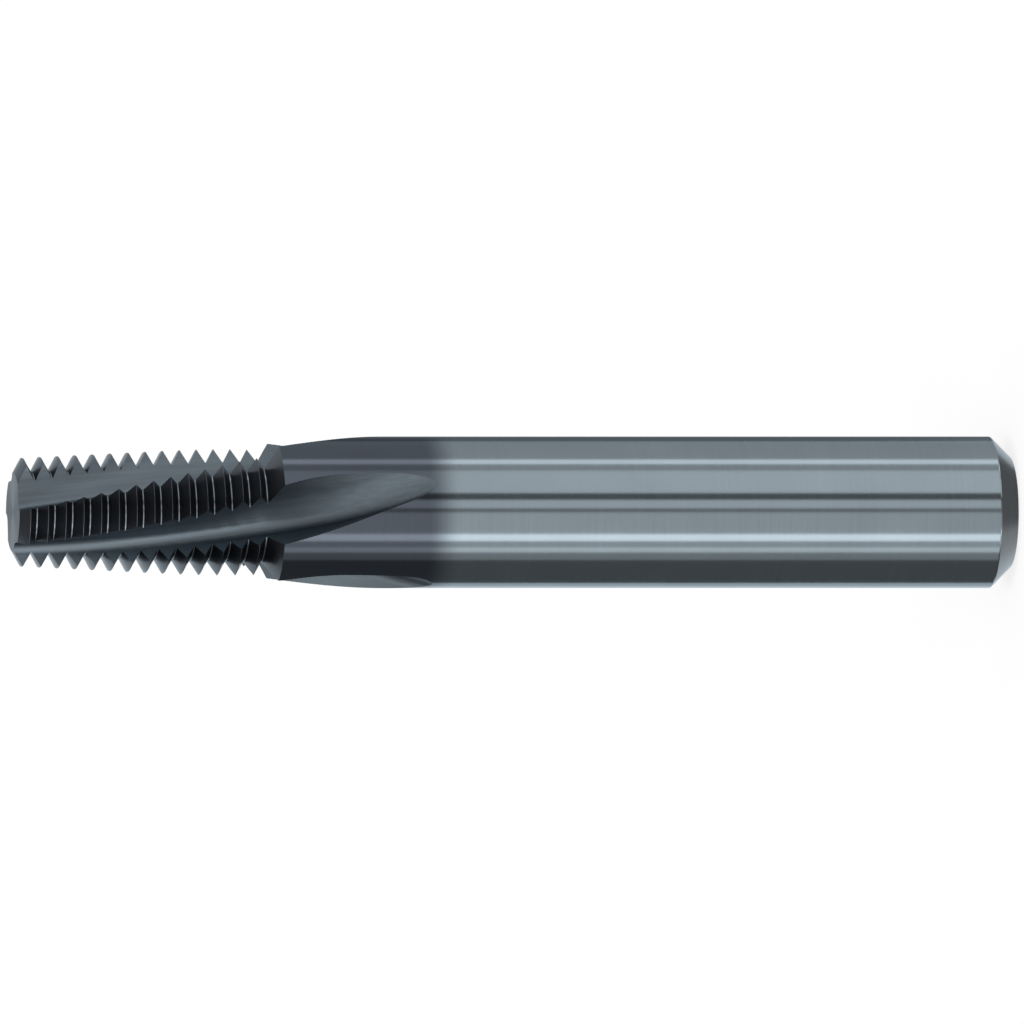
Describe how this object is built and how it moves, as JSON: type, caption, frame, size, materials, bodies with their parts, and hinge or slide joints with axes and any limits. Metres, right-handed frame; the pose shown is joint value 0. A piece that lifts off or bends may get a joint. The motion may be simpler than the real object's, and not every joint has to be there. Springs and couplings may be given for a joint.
{
  "type": "thread mill",
  "caption": "Solid carbide thread mill with a plain round shank and a tapered head of ring teeth, cut by helical flutes that run out into the shank.",
  "frame": {"origin": "centre of the flat face at the shank end, on which the tool stands", "axes": "+Z along the tool's axis, from the shank end to the tip; +X is up and -Y towards the viewer in the picture"},
  "size_m": [0.012, 0.012, 0.08],
  "materials": {
    "ground_carbide": "ground, with a dark coating on the cutting end"
  },
  "bodies": {
    "root": {"thread_mill": "ground_carbide"}
  },
  "joints": []
}
